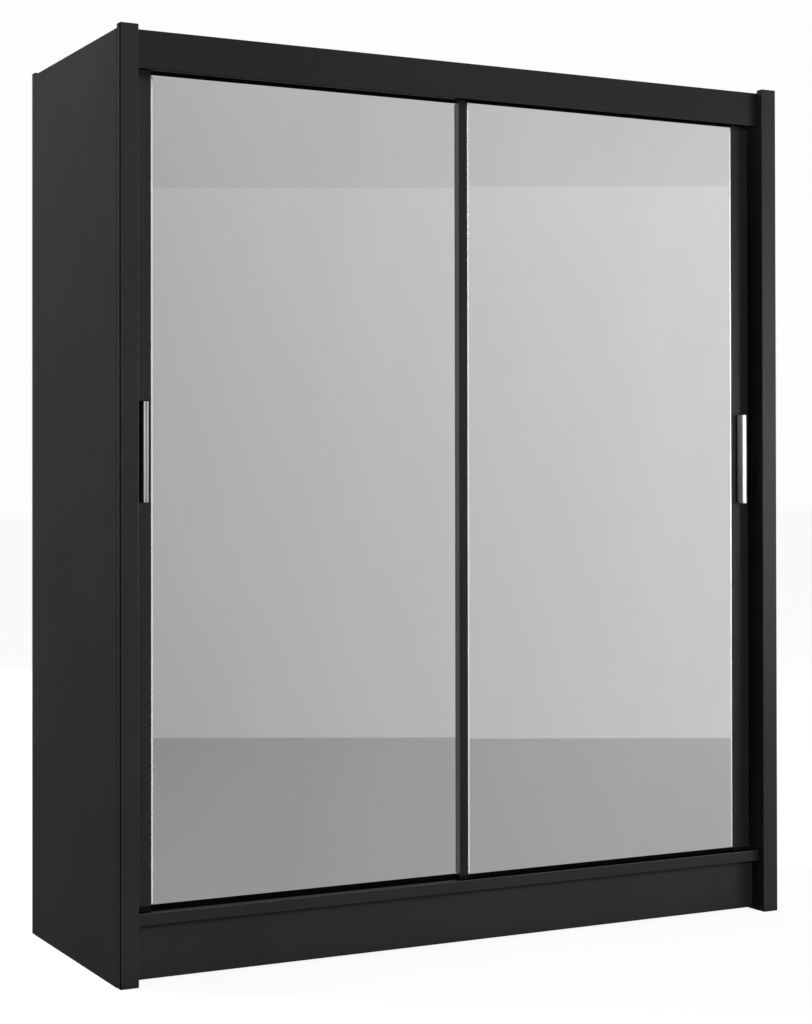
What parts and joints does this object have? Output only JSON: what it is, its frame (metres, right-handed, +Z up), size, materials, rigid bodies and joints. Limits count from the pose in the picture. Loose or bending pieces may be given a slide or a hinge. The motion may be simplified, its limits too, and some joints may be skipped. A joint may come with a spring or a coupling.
{
  "type": "sliding door wardrobe",
  "caption": "Free-standing dark wardrobe with mirrored sliding doors on a double track, a hanging bay and a shelf bay, side posts, a header and a plinth.",
  "frame": {"origin": "centre of the footprint on the floor", "axes": "+X to the right seen from the front, +Y to the back, +Z up; the doors face -Y"},
  "size_m": [1.81, 0.65, 2.15],
  "materials": {
    "board": "dark matt laminate",
    "track": "black anodised",
    "back_sheet": "bare hardboard",
    "black_plastic": "matt moulded",
    "buffer": "soft matt",
    "steel": "zinc plated",
    "door_profile": "matt dark powder coat",
    "mirror": "silvered",
    "backing": "plain board",
    "handle_metal": "satin anodised",
    "nylon": "moulded"
  },
  "bodies": {
    "carcass": {"side_panel_left": "board", "side_panel_right": "board", "front_post_left": "board", "front_post_right": "board", "rear_post_left": "board", "rear_post_right": "board", "jamb_left": "board", "jamb_right": "board", "top_panel": "board", "bottom_panel": "board", "centre_partition": "board", "header": "board", "lower_fascia": "board", "plinth": "board", "rear_stretcher": "board", "top_track": "track", "bottom_track": "track", "back_sheet_left": "back_sheet", "back_sheet_right": "back_sheet", "back_joint_strip": "black_plastic", "back_screws": "steel", "hat_shelf": "board", "shelf_1": "board", "shelf_2": "board", "shelf_3": "board", "shelf_4": "board", "shelf_pins": "steel", "hanging_rail": "steel", "rail_flanges": "steel", "levelling_feet": "black_plastic", "wall_brackets": "steel", "bracket_screws": "steel", "door_buffers": "buffer"},
    "left_door": {"left_door_handle_stile": "door_profile", "left_door_meeting_stile": "door_profile", "left_door_top_rail": "door_profile", "left_door_bottom_rail": "door_profile", "left_door_mirror": "mirror", "left_door_backing_board": "backing", "left_door_handle": "handle_metal", "left_door_handle_cup": "black_plastic", "left_door_end_caps": "black_plastic", "left_door_top_guides": "nylon", "left_door_roller_carriages": "nylon"},
    "left_door_outer_wheel": {"left_door_wheel_outer": "nylon"},
    "left_door_inner_wheel": {"left_door_wheel_inner": "nylon"},
    "right_door": {"right_door_handle_stile": "door_profile", "right_door_meeting_stile": "door_profile", "right_door_top_rail": "door_profile", "right_door_bottom_rail": "door_profile", "right_door_mirror": "mirror", "right_door_backing_board": "backing", "right_door_handle": "handle_metal", "right_door_handle_base": "black_plastic", "right_door_end_caps": "black_plastic", "right_door_top_guides": "nylon", "right_door_roller_carriages": "nylon"},
    "right_door_outer_wheel": {"right_door_wheel_outer": "nylon"},
    "right_door_inner_wheel": {"right_door_wheel_inner": "nylon"}
  },
  "joints": [
    {"name": "left_door_slide", "type": "slide", "parent": "carcass", "child": "left_door", "axis": [1, 0, 0], "range_m": [0, 0.8408]},
    {"name": "right_door_slide", "type": "slide", "parent": "carcass", "child": "right_door", "axis": [1, 0, 0], "range_m": [-0.8408, 0]},
    {"name": "left_door_outer_wheel_spin", "type": "hinge", "parent": "left_door", "child": "left_door_outer_wheel", "pos_m": [-0.7686, -0.2375, 0.1613], "axis": [0, 1, 0], "continuous": true},
    {"name": "left_door_inner_wheel_spin", "type": "hinge", "parent": "left_door", "child": "left_door_inner_wheel", "pos_m": [-0.044, -0.2375, 0.1613], "axis": [0, 1, 0], "continuous": true},
    {"name": "right_door_outer_wheel_spin", "type": "hinge", "parent": "right_door", "child": "right_door_outer_wheel", "pos_m": [0.7686, -0.2585, 0.1613], "axis": [0, 1, 0], "continuous": true},
    {"name": "right_door_inner_wheel_spin", "type": "hinge", "parent": "right_door", "child": "right_door_inner_wheel", "pos_m": [0.044, -0.2585, 0.1613], "axis": [0, 1, 0], "continuous": true}
  ],
  "couplings": [
    {"joint": "left_door_outer_wheel_spin", "follows": "left_door_slide", "rad_per_m": 125},
    {"joint": "left_door_inner_wheel_spin", "follows": "left_door_slide", "rad_per_m": 125},
    {"joint": "right_door_outer_wheel_spin", "follows": "right_door_slide", "rad_per_m": 125},
    {"joint": "right_door_inner_wheel_spin", "follows": "right_door_slide", "rad_per_m": 125}
  ]
}
